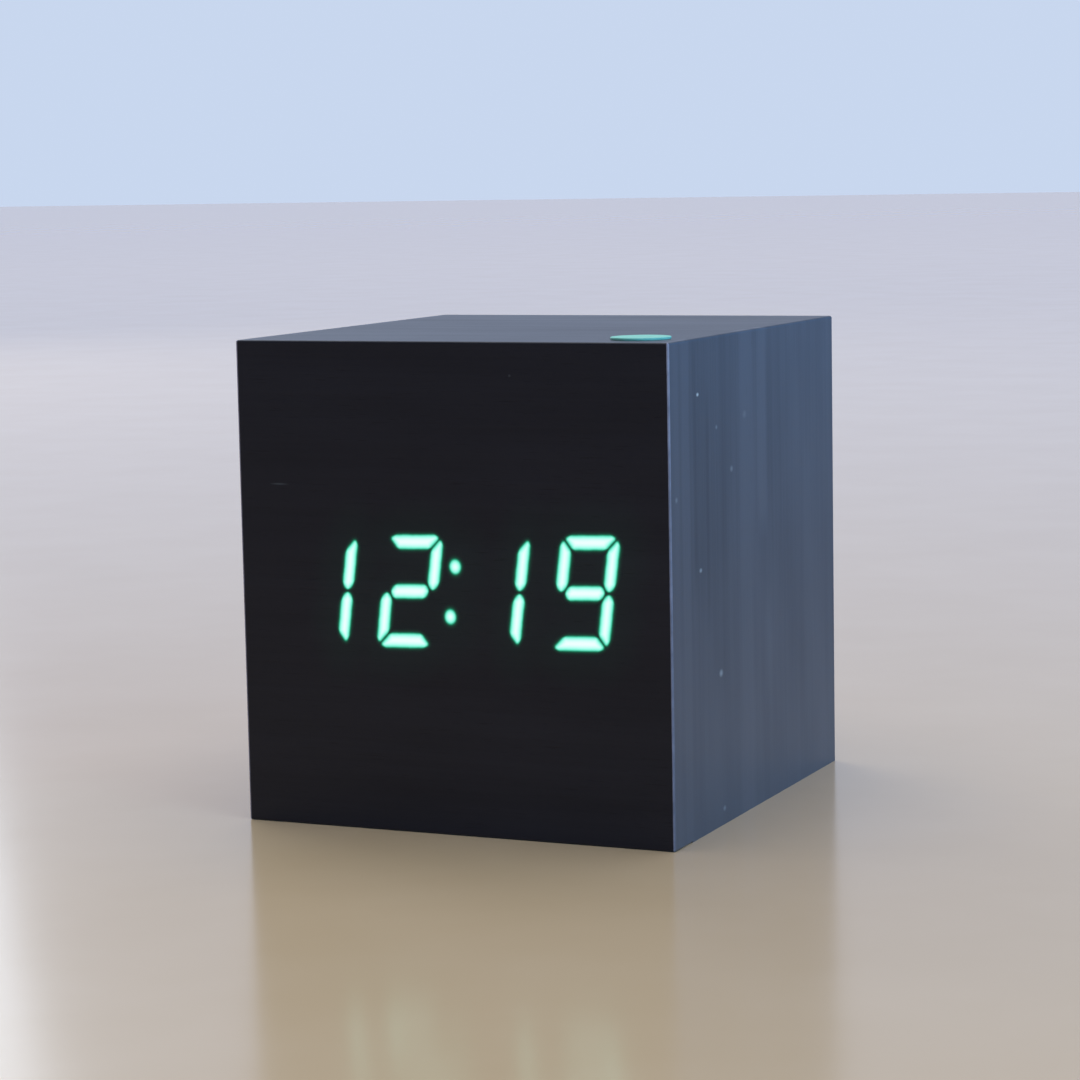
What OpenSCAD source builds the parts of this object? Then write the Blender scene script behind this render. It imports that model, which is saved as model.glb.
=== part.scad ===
// Cube alarm clock. A fibreboard case covered with black wood-grain film shows green digits
// through the film of its front board. A moulded rear chassis, set into the back of the case,
// carries the battery tray with its door, three keys and the power inlet.
// Millimetres. The origin is the centre of the base, -Y is the front, +X the right side as
// seen from the front, and +Z is up.

/* [Case] */
// Width of the case, left to right
case_w = 60; // [60:0.5:64]
// Depth of the case, front to back
case_d = 62; // [62:0.5:70]
// Height of the case
case_h = 63; // [63:0.5:68]
// Thickness of the four fibreboard walls
board_t = 4.2; // [3.8:0.1:4.2]
// Thickness of the front board
front_t = 5.6; // [5.4:0.1:6.4]
// Thickness of the wood-grain film
film_t = 0.3; // [0.2:0.05:0.3]

/* [Display] */
// Digit shown for the tens of hours
hour_tens = 1; // [0:1:2]
// Digit shown for the single hours
hour_ones = 2; // [0:1:9]
// Digit shown for the tens of minutes
minute_tens = 1; // [0:1:5]
// Digit shown for the single minutes
minute_ones = 9; // [0:1:9]
// Height of a digit
digit_h = 14.5; // [12.5:0.1:15]
// Width of a digit over its strokes
digit_w = 8.1; // [7.4:0.1:8.2]
// Distance from one digit to the next
digit_pitch = 12.1; // [11.6:0.1:12.2]
// Lean of the digits to the right, in degrees
digit_lean = 9; // [0:0.5:10]
// Turn of the row of digits, right end up, in degrees: this display sits slightly askew
display_turn = 1.6; // [0:0.1:2]
// Thickness of the level strokes
stroke_level = 1.85; // [1.4:0.05:2]
// Width of the upright strokes
stroke_upright = 1.65; // [1.4:0.05:1.8]
// Distance between the two colon dots
colon_gap = 6.35; // [5:0.05:8]
// Distance of the display centre to the right of the case centre
display_x = 0.3; // [0:0.1:0.5]
// Height of the display centre above the base
display_z = 31.4; // [29:0.1:34]

/* [Rear chassis] */
// Depth of the chassis face below the rear rim of the case
rear_inset = 0.5; // [0.5:0.1:0.8]
// Thickness of the chassis plate
plate_t = 2; // [1.8:0.1:2.2]
// Gap between the chassis and the case walls
chassis_gap = 0.2; // [0.1:0.05:0.3]
// Thickness of the battery door
door_t = 1.5; // [1.4:0.1:1.6]
// Gap around the battery door
door_gap = 0.25; // [0.2:0.05:0.3]

/* [Batteries] */
// Diameter of a cell
cell_d = 10.5; // [10.1:0.1:10.5]
// Length of a cell over its button end
cell_l = 44.5; // [43.9:0.1:44.5]
// Distance from one cell to the next
cell_pitch = 10.9; // [10.7:0.1:10.9]

/* [Keys and inlet] */
// Diameter of a key cap
key_d = 5; // [4.6:0.1:5.2]
// Distance from one key to the next
key_pitch = 8; // [7.6:0.1:8]
// Travel of a key when it is pressed
key_travel = 0.3; // [0.25:0.05:0.3]
// Diameter of the inlet's centre pin
inlet_pin_d = 1.3; // [1:0.05:1.35]
// Inside diameter of the inlet's barrel
inlet_bore_d = 3.8; // [3.6:0.1:4]

/* [Label] */
// Diameter of the round label on the top
label_d = 7.6; // [6:0.1:10]
// Thickness of the label
label_t = 0.3; // [0.1:0.05:0.5]
// Distance of the label's centre from the right side
label_from_side = 6.7; // [6:0.1:12]
// Distance of the label's centre from the front
label_from_front = 7.7; // [6:0.1:16]

/* [Hidden] */

$fn = 48;
CUT = 1;            // how far a cutting shape runs past the face that it opens
FIT = 0.02;         // radial gap of a screw in its hole
RUNNING = 0.05;     // radial gap of a part that turns or slides in a hole

// Front to back
front_y = -case_d / 2;
rear_y = case_d / 2;
board_y = front_y + film_t;
seam_y = board_y + front_t;
web_t = 1.2;         // front board left in front of the display
diffuser_t = 0.3;
diffuser_y = board_y + web_t;
reflector_y = diffuser_y + diffuser_t;
pcb_t = 1.6;
pcb_rear_y = seam_y + pcb_t;
plate_out_y = rear_y - rear_inset;
plate_in_y = plate_out_y - plate_t;

// Inside of the case
wall_t = film_t + board_t;
inner_x = case_w / 2 - wall_t;
inner_z0 = wall_t;
inner_z1 = case_h - wall_t;

// Digits
shown = [hour_tens, hour_ones, minute_tens, minute_ones];
LIT_STROKES = ["abcdef", "bc", "abdeg", "abcdg", "bcfg", "acdfg", "acdefg", "abc", "abcdefg", "abcdfg"];
STROKES = "abcdefg";
half_w = digit_w / 2;
half_h = digit_h / 2;
corner_cut = 1.1;
stroke_gap = 0.25;
tip_w = 0.35;
tip_l = 0.95;
dot_w = 1.6;
dot_h = 1.9;
reflector_w = 48.6;
reflector_h = 18;

// Chassis and battery bay
chassis_x = inner_x - chassis_gap;
chassis_z0 = inner_z0 + chassis_gap;
chassis_z1 = inner_z1 - chassis_gap;
bay_wall = 1;
cell_gap = 0.35;      // from a cell to the bay's floor and long walls
cell_to_plate = 0.65; // from a cell to the level of the plate's inner face
bay_x = chassis_x - bay_wall;
cell_y = plate_in_y - cell_to_plate - cell_d / 2;
bay_floor_y = cell_y - cell_d / 2 - cell_gap;
bay_z0 = 11.6;
cell_z = [for (i = [0:2]) bay_z0 + cell_gap + cell_d / 2 + i * cell_pitch];
bay_z1 = cell_z[2] + cell_d / 2 + cell_gap;
bay_low_wall = 1.6;
bay_high_wall = 1.4;
mark_h = 0.2;
mark_l = 3;
mark_w = 0.6;
ridge_w = 4;
ridge_h = 3;

// Door and its hinge
door_x = bay_x - door_gap;
hinge_rise = 0.4;     // of the hinge line above the bay's lower wall
door_lap = 0.75;      // of the door over the bay's upper wall
hinge_y = plate_out_y - door_t / 2;
hinge_z = bay_z0 + hinge_rise;
hinge_pin_r = 0.6;
door_z1 = bay_z1 + door_lap;
door_open_z0 = hinge_z - door_t / 2 - door_gap;
door_rib_x = [-17, -9, 9, 17];
tongue_w = 12;
tongue_l = 9;
tongue_slot = 0.7;
nail_w = 14;
nail_h = 2.6;
nail_t = 1.2;
grip_count = 4;
grip_pitch = 1.3;
grip_h = 0.6;
groove_t = 0.25;

// Control board, keys, microphone and inlet
control_t = 1.2;
key_drop = 6.3;       // from the ceiling of the case to the row of keys
first_key_x = -14.5;
key_z = inner_z1 - key_drop;
key_x = [for (i = [0:2]) first_key_x + i * key_pitch];
mic_x = 8;
inlet_x = 14.5;
flange_t = 0.8;
flange_r = key_d / 2 + 0.8;
key_proud = 0.4;
key_back_y = plate_in_y - 0.2 - flange_t;
switch_w = 6;
switch_t = 3.5;
plunger_h = 1.6;
plunger_r = 1.75;
plunger_floor = 1;
control_y = key_back_y - switch_t - plunger_h;
control_x = 19;
control_below = 5.8;  // of the control board below and above the row of keys
control_above = 6;
control_z0 = key_z - control_below;
control_z1 = key_z + control_above;
boss_r = 1.5;
boss_x = [-10.5, mic_x];
boss_z = [key_z - 4.5, key_z + 4.5];

// Fasteners
wood_screw_r = 1;
wood_screw_l = 8;
block_w = 5.4;
block_l = 14;
screw_from_side = 3.1;
screw_from_end = 2.8;
chassis_screw_x = inner_x - screw_from_side;
chassis_screw_z = [inner_z0 + screw_from_end, inner_z1 - screw_from_end];
small_screw_r = 0.7;
small_screw_l = 5;
screw_way_r = 0.9;
sink_r = 2.1;
sink_t = 1;
display_screw_x = 20.5;
display_screw_rise = 17;
display_screw_z = [display_z - display_screw_rise, display_z + display_screw_rise];

// Outline helpers -----------------------------------------------------------------------

// A block between two corners
module block(low, high) {
    translate(low)
        cube(high - low);
}

// A front-view outline (X, Z) given depth from y0 to y1
module slab(y0, y1) {
    translate([0, y1, 0])
        rotate([90, 0, 0])
            linear_extrude(y1 - y0)
                children();
}

// A side-view outline (Y, Z) given width from x0 to x1
module strip(x0, x1) {
    translate([x0, 0, 0])
        rotate([90, 0, 90])
            linear_extrude(x1 - x0)
                children();
}

// A round rod along Y, straight or tapered from r0 at y0 to r1 at y1
module rod_y(x, z, y0, y1, r0, r1) {
    translate([x, y0, z])
        rotate([-90, 0, 0])
            cylinder(h = y1 - y0, r1 = r0, r2 = r1);
}

// A round rod along X
module rod_x(y, z, x0, x1, r) {
    translate([x0, y, z])
        rotate([0, 90, 0])
            cylinder(h = x1 - x0, r = r);
}

// A rectangle with rounded corners, between two corners
module round_rect(low, high, r) {
    translate([low.x + r, low.y])
        square([high.x - low.x - 2 * r, high.y - low.y]);
    translate([low.x, low.y + r])
        square([high.x - low.x, high.y - low.y - 2 * r]);
    for (x = [low.x + r, high.x - r], y = [low.y + r, high.y - r])
        translate([x, y])
            circle(r);
}

function ellipse(w, h, count) =
    [for (i = [0:count - 1]) [w / 2 * cos(360 * i / count), h / 2 * sin(360 * i / count)]];

// Swept tubes ---------------------------------------------------------------------------

function unit(v) = v / norm(v);

function tangent(path, i) = unit(path[min(i + 1, len(path) - 1)] - path[max(i - 1, 0)]);

function tube_ring(centre, along, side, r, count) =
    let (u = unit(cross(along, side)), v = cross(along, u))
    [for (k = [0:count - 1]) centre + r * (cos(360 * k / count) * u + sin(360 * k / count) * v)];

function curve_point(p, i, t) =
    let (
        last = len(p) - 1,
        a = p[max(i - 1, 0)],
        b = p[i],
        c = p[min(i + 1, last)],
        d = p[min(i + 2, last)]
    )
    0.5 * (2 * b + (c - a) * t + (2 * a - 5 * b + 4 * c - d) * t * t
        + (3 * b - a - 3 * c + d) * t * t * t);

// A smooth path through the points, with the given steps between neighbours
function smooth_path(points, steps) =
    [
        for (i = [0:len(points) - 2], s = [0:steps - 1]) curve_point(points, i, s / steps),
        points[len(points) - 1]
    ];

// A round tube along a path; side is a direction that the path never runs along
module tube(path, r, side, count = 8) {
    last = len(path) - 1;
    rings = [for (i = [0:last]) tube_ring(path[i], tangent(path, i), side, r, count)];
    skin = [
        for (i = [0:last - 1], k = [0:count - 1])
            let (a = i * count + k, b = i * count + (k + 1) % count)
            [a, b, b + count, a + count]
    ];
    start_cap = [[for (k = [count - 1:-1:0]) k]];
    end_cap = [[for (k = [0:count - 1]) last * count + k]];
    polyhedron([for (ring = rings) each ring], concat(start_cap, skin, end_cap), convexity = 6);
}

// Digit strokes -------------------------------------------------------------------------

mitre = stroke_gap * 0.35;
top_stroke = [
    [corner_cut - half_w, half_h],
    [half_w - corner_cut, half_h],
    [half_w - corner_cut / 2 - mitre, half_h - corner_cut / 2 + mitre],
    [half_w - stroke_upright - 2 * mitre, half_h - stroke_level],
    [2 * mitre + stroke_upright - half_w, half_h - stroke_level],
    [mitre + corner_cut / 2 - half_w, half_h - corner_cut / 2 + mitre]
];
side_stroke = [
    [half_w - corner_cut / 2 + mitre, half_h - corner_cut / 2 - mitre],
    [half_w, half_h - corner_cut],
    [half_w, tip_l],
    [half_w - (stroke_upright - tip_w) / 2, stroke_gap / 2],
    [half_w - (stroke_upright + tip_w) / 2, stroke_gap / 2],
    [half_w - stroke_upright, tip_l],
    [half_w - stroke_upright, half_h - stroke_level - 2 * mitre]
];
middle_end = half_w - stroke_upright / 2 - 2 * stroke_gap;
middle_shoulder = half_w - stroke_upright - stroke_gap;
middle_stroke = [
    for (sx = [1, -1])
        each [
            [sx * middle_shoulder, -sx * stroke_level / 2],
            [sx * middle_end, -sx * tip_w / 2],
            [sx * middle_end, sx * tip_w / 2],
            [sx * middle_shoulder, sx * stroke_level / 2]
        ]
];

function flip(points, sx, sy) = [for (p = points) [sx * p.x, sy * p.y]];

function stroke(name) =
    name == "a" ? top_stroke
    : name == "d" ? flip(top_stroke, 1, -1)
    : name == "b" ? side_stroke
    : name == "c" ? flip(side_stroke, 1, -1)
    : name == "f" ? flip(side_stroke, -1, 1)
    : name == "e" ? flip(side_stroke, -1, -1)
    : middle_stroke;

function stroke_centre(name) =
    name == "a" ? [0, half_h - stroke_level / 2]
    : name == "d" ? [0, stroke_level / 2 - half_h]
    : name == "g" ? [0, 0]
    : [
        (name == "b" || name == "c" ? 1 : -1) * (half_w - stroke_upright / 2),
        (name == "b" || name == "f" ? 1 : -1) * half_h / 2
    ];

function is_level(name) = name == "a" || name == "d" || name == "g";

function is_lit(digit, name) = len(search(name, LIT_STROKES[shown[digit]])) > 0;

function turned(p) =
    [p.x * cos(display_turn) - p.y * sin(display_turn), p.x * sin(display_turn) + p.y * cos(display_turn)];

function leaning(p) = turned([p.x + p.y * tan(digit_lean), p.y]);

function digit_centre(i) = [display_x, display_z] + turned([(i - 1.5) * digit_pitch, 0]);

module stroke_outline(digit, name) {
    translate(digit_centre(digit))
        polygon([for (p = stroke(name)) leaning(p)]);
}

module colon_outlines() {
    for (side = [-1, 1])
        translate([display_x, display_z] + leaning([0, side * colon_gap / 2]))
            polygon(ellipse(dot_w, dot_h, 24));
}

// Every stroke and dot, each a prism from y0 to y1
module all_strokes(y0, y1) {
    for (digit = [0:3], name = STROKES)
        slab(y0, y1)
            stroke_outline(digit, name);
    slab(y0, y1)
        colon_outlines();
}

// Case ----------------------------------------------------------------------------------

// Film over the front board's face and four edges, open where the strokes shine through
module front_film() {
    color([0.06, 0.065, 0.08])
        difference() {
            block([-case_w / 2, front_y, 0], [case_w / 2, seam_y, case_h]);
            block(
                [film_t - case_w / 2, board_y, film_t],
                [case_w / 2 - film_t, seam_y + CUT, case_h - film_t]
            );
            all_strokes(front_y - CUT, board_y + CUT);
        }
}

// Film areas over the strokes that are lit, and the colon
module lit_windows() {
    color([0.35, 1, 0.65]) {
        for (digit = [0:3], name = STROKES)
            if (is_lit(digit, name))
                slab(front_y, board_y)
                    stroke_outline(digit, name);
        slab(front_y, board_y)
            colon_outlines();
    }
}

// Film areas over the strokes that are not lit
module dark_windows() {
    color([0.06, 0.065, 0.08])
        for (digit = [0:3], name = STROKES)
            if (!is_lit(digit, name))
                slab(front_y, board_y)
                    stroke_outline(digit, name);
}

function display_low() = [display_x - reflector_w / 2, display_z - reflector_h / 2];

function display_high() = [display_x + reflector_w / 2, display_z + reflector_h / 2];

// Front board with a rear pocket for the reflector and a thin slotted web left in front
module front_board() {
    color([0.33, 0.25, 0.19])
        difference() {
            block([film_t - case_w / 2, board_y, film_t], [case_w / 2 - film_t, seam_y, case_h - film_t]);
            slab(diffuser_y, seam_y + CUT)
                round_rect(display_low() - [0.2, 0.2], display_high() + [0.2, 0.2], 1);
            all_strokes(board_y - CUT, diffuser_y + CUT);
            for (x = [-1, 1] * display_screw_x, z = display_screw_z)
                rod_y(display_x + x, z, seam_y - 4, seam_y + CUT, small_screw_r + FIT, small_screw_r + FIT);
        }
}

// Film round the left side, the top and the right side
module wrap_film() {
    color([0.1, 0.11, 0.14])
        difference() {
            block([-case_w / 2, seam_y, film_t], [case_w / 2, rear_y, case_h]);
            block(
                [film_t - case_w / 2, seam_y - CUT, 0],
                [case_w / 2 - film_t, rear_y + CUT, case_h - film_t]
            );
        }
}

module bottom_film() {
    color([0.08, 0.085, 0.1])
        block([-case_w / 2, seam_y, 0], [case_w / 2, rear_y, film_t]);
}

// One mitred wall: its outer and inner edge, each from one corner to the next
module wall(outer_a, outer_b, inner_b, inner_a) {
    color([0.3, 0.23, 0.18])
        slab(seam_y, rear_y)
            polygon([outer_a, outer_b, inner_b, inner_a]);
}

outer_x = case_w / 2 - film_t;
outer_z1 = case_h - film_t;

module top_board() {
    wall([-outer_x, outer_z1], [outer_x, outer_z1], [inner_x, inner_z1], [-inner_x, inner_z1]);
}

module bottom_board() {
    wall([-outer_x, film_t], [outer_x, film_t], [inner_x, inner_z0], [-inner_x, inner_z0]);
}

module left_board() {
    wall([-outer_x, film_t], [-outer_x, outer_z1], [-inner_x, inner_z1], [-inner_x, inner_z0]);
}

module right_board() {
    wall([outer_x, film_t], [outer_x, outer_z1], [inner_x, inner_z1], [inner_x, inner_z0]);
}

// Wooden blocks glued into the corners, drilled for the chassis screws
module corner_blocks() {
    color([0.72, 0.58, 0.4])
        for (sx = [-1, 1], k = [0, 1])
            difference() {
                block(
                    [sx > 0 ? inner_x - block_w : -inner_x, plate_in_y - block_l,
                        k > 0 ? inner_z1 - block_w : inner_z0],
                    [sx > 0 ? inner_x : block_w - inner_x, plate_in_y,
                        k > 0 ? inner_z1 : inner_z0 + block_w]
                );
                rod_y(sx * chassis_screw_x, chassis_screw_z[k], plate_in_y - wood_screw_l,
                    plate_in_y + CUT, wood_screw_r + FIT, wood_screw_r + FIT);
            }
}

module top_label() {
    color([0.35, 0.78, 0.58])
        translate([case_w / 2 - label_from_side, front_y + label_from_front, case_h])
            cylinder(h = label_t, d = label_d);
}

// Display -------------------------------------------------------------------------------

module diffuser_sheet() {
    color([0.9, 0.92, 0.9])
        slab(diffuser_y, reflector_y)
            round_rect(display_low(), display_high(), 1);
}

// White frame with one light well behind each stroke and dot
module segment_reflector() {
    color([0.93, 0.93, 0.91])
        difference() {
            slab(reflector_y, seam_y)
                round_rect(display_low(), display_high(), 1);
            all_strokes(reflector_y - CUT, seam_y + CUT);
        }
}

led_long = 1.6;
led_short = 0.8;
led_t = 0.6;
led_offset = 1.1;

module led(centre, level) {
    size = level ? [led_long, led_short] : [led_short, led_long];
    slab(seam_y - led_t, seam_y)
        translate(centre - size / 2)
            square(size);
}

// Two light-emitting diodes in each stroke's well and one in each dot's
module display_leds() {
    color([0.85, 0.95, 0.8]) {
        for (digit = [0:3], name = STROKES, side = [-1, 1])
            let (along = side * led_offset * (is_level(name) ? [1, 0] : [0, 1]))
            led(digit_centre(digit) + leaning(stroke_centre(name) + along), is_level(name));
        for (side = [-1, 1])
            led([display_x, display_z] + leaning([0, side * colon_gap / 2]), false);
    }
}

display_pcb_w = 49;
display_pcb_h = 42;

module display_pcb() {
    color([0.05, 0.3, 0.16])
        difference() {
            slab(seam_y, pcb_rear_y)
                round_rect(
                    [display_x - display_pcb_w / 2, display_z - display_pcb_h / 2],
                    [display_x + display_pcb_w / 2, display_z + display_pcb_h / 2],
                    1
                );
            for (x = [-1, 1] * display_screw_x, z = display_screw_z)
                rod_y(display_x + x, z, seam_y - CUT, pcb_rear_y + CUT, screw_way_r, screw_way_r);
        }
}

// A pan-head screw along Y; dir is +1 when its head faces +Y, and seat_y is under the head
module pan_screw(x, z, seat_y, dir, head_r) {
    head_t = head_r * 0.75;
    translate([x, seat_y, z])
        rotate([dir > 0 ? -90 : 90, 0, 0])
            difference() {
                union() {
                    translate([0, 0, -small_screw_l])
                        cylinder(h = small_screw_l, r = small_screw_r);
                    cylinder(h = head_t * 0.55, r = head_r);
                    translate([0, 0, head_t * 0.55])
                        cylinder(h = head_t * 0.45, r1 = head_r, r2 = head_r * 0.62);
                }
                cross_recess(head_r * 1.15, head_t);
            }
}

// The crossed slots in a screw head, cut down from the top of the head
module cross_recess(reach, head_t) {
    for (turn = [0, 90])
        rotate([0, 0, turn])
            translate([-reach / 2, -reach / 9, head_t * 0.35])
                cube([reach, reach / 4.5, head_t]);
}

module display_screws() {
    color([0.7, 0.7, 0.68])
        for (x = [-1, 1] * display_screw_x, z = display_screw_z)
            pan_screw(display_x + x, z, pcb_rear_y, 1, 1.5);
}

// Chips on the display board: centre, body size and number of leads on each long edge
clock_chip_at = [display_x - 7, display_z + 8.5];
clock_chip_size = [17.9, 7.5];
clock_chip_leads = 14;
driver_chip_at = [display_x + 12.5, display_z + 8.5];
driver_chip_size = [12.8, 7.5];
driver_chip_leads = 10;
chip_stand = 0.15;
chip_t = 2.3;
lead_pitch = 1.27;
lead_w = 0.42;
lead_t = 0.25;

module chip(at, size) {
    difference() {
        slab(pcb_rear_y + chip_stand, pcb_rear_y + chip_stand + chip_t)
            translate(at - size / 2)
                square(size);
        rod_y(at.x - size.x / 2 + 1.3, at.y - size.y / 2 + 1.3, pcb_rear_y + chip_t,
            pcb_rear_y + chip_t + CUT, 0.5, 0.5);
    }
}

module clock_chip() {
    color([0.08, 0.08, 0.09])
        chip(clock_chip_at, clock_chip_size);
}

module driver_chip() {
    color([0.08, 0.08, 0.09])
        chip(driver_chip_at, driver_chip_size);
}

// One bent lead: out of the chip's edge, down beside it and along the board
module gull_lead(x, z, side) {
    shoulder = pcb_rear_y + 1.2;
    strip(x - lead_w / 2, x + lead_w / 2)
        polygon([
            [shoulder + lead_t, z],
            [shoulder + lead_t, z + side * (0.45 + lead_t)],
            [pcb_rear_y + lead_t, z + side * (0.6 + lead_t)],
            [pcb_rear_y + lead_t, z + side * 1.4],
            [pcb_rear_y, z + side * 1.4],
            [pcb_rear_y, z + side * 0.6],
            [shoulder, z + side * 0.45],
            [shoulder, z]
        ]);
}

module lead_rows(at, size, count) {
    for (i = [0:count - 1], side = [-1, 1])
        gull_lead(at.x + (i - (count - 1) / 2) * lead_pitch, at.y + side * size.y / 2, side);
}

module chip_leads() {
    color([0.75, 0.75, 0.75]) {
        lead_rows(clock_chip_at, clock_chip_size, clock_chip_leads);
        lead_rows(driver_chip_at, driver_chip_size, driver_chip_leads);
    }
}

crystal_r = 1.5;

// Metal-can crystal lying on the display board, with its two bent wires
module crystal() {
    color([0.78, 0.78, 0.76]) {
        rod_x(pcb_rear_y + crystal_r, display_z - 2, display_x - 12, display_x - 4, crystal_r);
        for (side = [-1, 1])
            block(
                [display_x - 4, pcb_rear_y, display_z - 2.15 + side * 0.6],
                [display_x - 1.5, pcb_rear_y + 0.3, display_z - 1.85 + side * 0.6]
            );
        for (side = [-1, 1])
            block(
                [display_x - 4, pcb_rear_y + 0.3, display_z - 2.15 + side * 0.6],
                [display_x - 3.7, pcb_rear_y + crystal_r, display_z - 1.85 + side * 0.6]
            );
    }
}

cap_r = 2.5;
cap_l = 7;
cap_z = display_z - cap_r;

// Standing electrolytic capacitors with a plain base, a crimped neck and a scored top
module capacitors() {
    color([0.12, 0.16, 0.3])
        for (x = [display_x + 4, display_x + 11])
            difference() {
                union() {
                    rod_y(x, cap_z, pcb_rear_y, pcb_rear_y + 1.2, cap_r, cap_r);
                    rod_y(x, cap_z, pcb_rear_y + 1.2, pcb_rear_y + 1.6, cap_r - 0.2, cap_r - 0.2);
                    rod_y(x, cap_z, pcb_rear_y + 1.6, pcb_rear_y + cap_l, cap_r, cap_r);
                }
                for (turn = [0, 90])
                    translate([x, pcb_rear_y + cap_l + 0.3, cap_z])
                        rotate([0, turn, 0])
                            cube([3.4, 0.8, 0.3], center = true);
            }
}

smd_pitch = [3, 3.4];
smd_size = [2, 0.6, 1.25];

// Rows of small resistors and capacitors
module smd_parts() {
    color([0.2, 0.18, 0.16])
        for (i = [0:7], row = [0, 1])
            translate([display_x - 19 + i * smd_pitch.x, pcb_rear_y, display_z - 9.4 - row * smd_pitch.y])
                cube(smd_size);
}

buzzer_r = 6;
buzzer_l = 8.5;
buzzer_at = [display_x + 13, display_z - 13];

// Sounder that gives the alarm, with its sound hole
module buzzer() {
    color([0.1, 0.1, 0.1])
        difference() {
            rod_y(buzzer_at.x, buzzer_at.y, pcb_rear_y, pcb_rear_y + buzzer_l, buzzer_r, buzzer_r);
            rod_y(buzzer_at.x, buzzer_at.y, pcb_rear_y + 6, pcb_rear_y + buzzer_l + CUT, 1, 1);
        }
}

header_w = 14;
header_h = 4.8;
header_l = 6;
display_header_z = display_z + 16.8;
control_header_z = key_z;

module header(y0, z) {
    slab(y0, y0 + header_l)
        translate([-header_w / 2, z - header_h / 2])
            square([header_w, header_h]);
}

module display_header() {
    color([0.9, 0.88, 0.82])
        header(pcb_rear_y, display_header_z);
}

module control_header() {
    color([0.9, 0.88, 0.82])
        header(control_y - control_t - header_l, control_header_z);
}

ribbon_t = 0.9;
ribbon_w = 10;
ribbon_start = [pcb_rear_y + header_l, display_header_z];
ribbon_end = [control_y - control_t - header_l, control_header_z];
ribbon_route = smooth_path(
    [ribbon_start - [6, 0], ribbon_start, ribbon_start + [7, -1], [0, case_h * 0.6],
        ribbon_end + [-8, -2], ribbon_end, ribbon_end + [6, 0]],
    8
);
ribbon_line = [for (p = ribbon_route) if (p.x >= ribbon_start.x && p.x <= ribbon_end.x) p];

function shifted(line, by) =
    [
        for (i = [0:len(line) - 1])
            let (t = i == 0 || i == len(line) - 1 ? [1, 0] : tangent(line, i))
            line[i] + by * [-t.y, t.x]
    ];

function reversed(line) = [for (i = [len(line) - 1:-1:0]) line[i]];

// Flat cable between the two boards, with some slack
module ribbon_cable() {
    color([0.7, 0.7, 0.72])
        strip(-ribbon_w / 2, ribbon_w / 2)
            polygon(concat(
                shifted(ribbon_line, ribbon_t / 2),
                reversed(shifted(ribbon_line, -ribbon_t / 2))
            ));
}

// Control board -------------------------------------------------------------------------

module control_pcb() {
    color([0.05, 0.3, 0.16])
        difference() {
            slab(control_y - control_t, control_y)
                translate([-control_x, control_z0])
                    square([2 * control_x, control_z1 - control_z0]);
            for (x = boss_x, z = boss_z)
                rod_y(x, z, control_y - control_t - CUT, control_y + CUT, screw_way_r, screw_way_r);
        }
}

module control_screws() {
    color([0.7, 0.7, 0.68])
        for (x = boss_x, z = boss_z)
            pan_screw(x, z, control_y - control_t, -1, 1.3);
}

// The three push switches, each bored for its plunger
module switch_bodies() {
    color([0.12, 0.12, 0.13])
        for (x = key_x)
            difference() {
                slab(control_y, control_y + switch_t)
                    translate([x - switch_w / 2, key_z - switch_w / 2])
                        square(switch_w);
                rod_y(x, key_z, control_y + plunger_floor, control_y + switch_t + CUT,
                    plunger_r + RUNNING, plunger_r + RUNNING);
            }
}

module plunger(x) {
    color([0.25, 0.25, 0.27])
        rod_y(x, key_z, control_y + plunger_floor + key_travel + 0.1, key_back_y, plunger_r, plunger_r);
}

module set_plunger() {
    plunger(key_x[0]);
}

module up_plunger() {
    plunger(key_x[1]);
}

module down_plunger() {
    plunger(key_x[2]);
}

module microphone() {
    color([0.7, 0.7, 0.7])
        difference() {
            rod_y(mic_x, key_z, control_y, control_y + 2.2, 2, 2);
            rod_y(mic_x, key_z, control_y + 1.9, control_y + 2.2 + CUT, 1.3, 1.3);
        }
}

// Temperature sensor: a small body on two wires, at the upper right corner of the control board
module thermistor() {
    z = control_z1 - 1.1;
    color([0.15, 0.15, 0.15]) {
        for (x = [control_x - 4, control_x - 2])
            rod_y(x, z, control_y, control_y + 1, 0.3, 0.3);
        rod_x(control_y + 1.6, z, control_x - 4.6, control_x - 1.4, 0.75);
    }
}

inlet_w = 6.8;
inlet_nose_r = 2.8;
inlet_face_y = plate_out_y - 0.1;
inlet_floor = 1.2;
pin_root_r = 0.9;

// Power inlet: a square body with a round nose through the chassis, bored for a barrel plug
module dc_socket() {
    color([0.07, 0.07, 0.08])
        difference() {
            union() {
                slab(control_y, plate_in_y - 0.2)
                    translate([inlet_x - inlet_w / 2, key_z - inlet_w / 2])
                        square(inlet_w);
                rod_y(inlet_x, key_z, plate_in_y - 0.2, inlet_face_y, inlet_nose_r, inlet_nose_r);
            }
            rod_y(inlet_x, key_z, control_y + inlet_floor, inlet_face_y + CUT,
                inlet_bore_d / 2, inlet_bore_d / 2);
            rod_y(inlet_x, key_z, control_y - CUT, control_y + inlet_floor + CUT,
                pin_root_r, pin_root_r);
        }
}

module dc_pin() {
    color([0.8, 0.68, 0.4])
        union() {
            rod_y(inlet_x, key_z, control_y, control_y + inlet_floor, pin_root_r, pin_root_r);
            rod_y(inlet_x, key_z, control_y + inlet_floor, inlet_face_y - 1.5,
                inlet_pin_d / 2, inlet_pin_d / 2);
        }
}

// Rear chassis --------------------------------------------------------------------------

// A plus or minus sign moulded on the bay floor
module polarity_mark(x, z, plus) {
    slab(bay_floor_y, bay_floor_y + mark_h) {
        translate([x - mark_l / 2, z - mark_w / 2])
            square([mark_l, mark_w]);
        if (plus)
            translate([x - mark_w / 2, z - mark_l / 2])
                square([mark_w, mark_l]);
    }
}

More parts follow.
